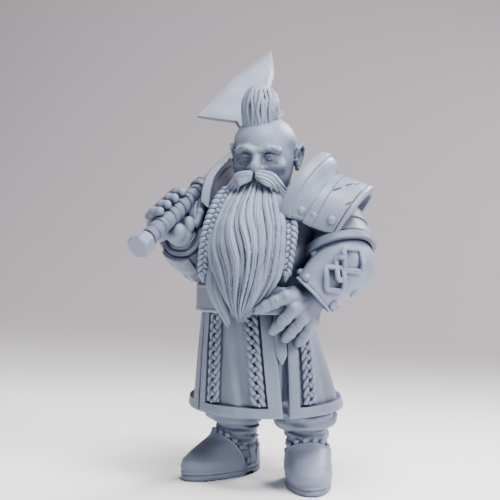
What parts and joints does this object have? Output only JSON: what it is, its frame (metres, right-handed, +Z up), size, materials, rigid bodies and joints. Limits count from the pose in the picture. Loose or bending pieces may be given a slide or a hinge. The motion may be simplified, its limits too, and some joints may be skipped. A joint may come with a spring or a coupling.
{
  "type": "miniature figure",
  "caption": "Cast resin display miniature of a bearded warrior in a long coat, one great axe over the right shoulder, standing on its own soles without a base.",
  "frame": {"origin": "centre of the figure's bounding box seen from above, on the ground under the soles", "axes": "+Z up; -Y is the way the chest faces; +X towards the figure's left hand"},
  "size_m": [0.0374, 0.0498, 0.0741],
  "materials": {
    "skin": "unpainted blue-grey casting resin, satin",
    "hair": "unpainted blue-grey casting resin, satin",
    "cloth": "unpainted blue-grey casting resin, satin",
    "leather": "unpainted blue-grey casting resin, satin",
    "armour": "unpainted blue-grey casting resin, satin",
    "wood": "unpainted blue-grey casting resin, satin",
    "brass_pin": "plain drawn rod, hidden inside the joints"
  },
  "bodies": {
    "root": {"ankle_pins": "brass_pin", "axe_grip_wrap": "leather", "axe_haft": "wood", "axe_haft_collar": "armour", "axe_head": "armour", "axe_pommel": "armour", "beard": "hair", "belt": "leather", "belt_buckle": "armour", "coat_back_panel": "cloth", "coat_core": "cloth", "coat_front_panel": "cloth", "coat_left_panel": "cloth", "coat_right_panel": "cloth", "head": "skin", "hip_pins": "brass_pin", "left_arm_lame_lower": "leather", "left_arm_lame_upper": "leather", "left_boot": "leather", "left_boot_studs": "armour", "left_bracer": "leather", "left_bracer_knot": "armour", "left_bracer_rivets": "armour", "left_braid": "hair", "left_forearm": "cloth", "left_hand": "skin", "left_leg": "cloth", "left_pauldron_collar": "armour", "left_pauldron_plate": "armour", "left_pauldron_rivets": "armour", "left_sleeve_cuff": "leather", "left_sole": "leather", "left_upper_arm": "cloth", "moustache": "hair", "neck_pin": "brass_pin", "right_boot": "leather", "right_boot_studs": "armour", "right_bracer": "leather", "right_bracer_rivets": "armour", "right_braid": "hair", "right_forearm": "cloth", "right_hand": "skin", "right_leg": "cloth", "right_pauldron_collar": "armour", "right_pauldron_plate": "armour", "right_sole": "leather", "right_upper_arm": "cloth", "shoulder_pins": "brass_pin", "topknot": "hair", "torso": "cloth", "waist_pin": "brass_pin", "wrist_pins": "brass_pin"}
  },
  "joints": []
}
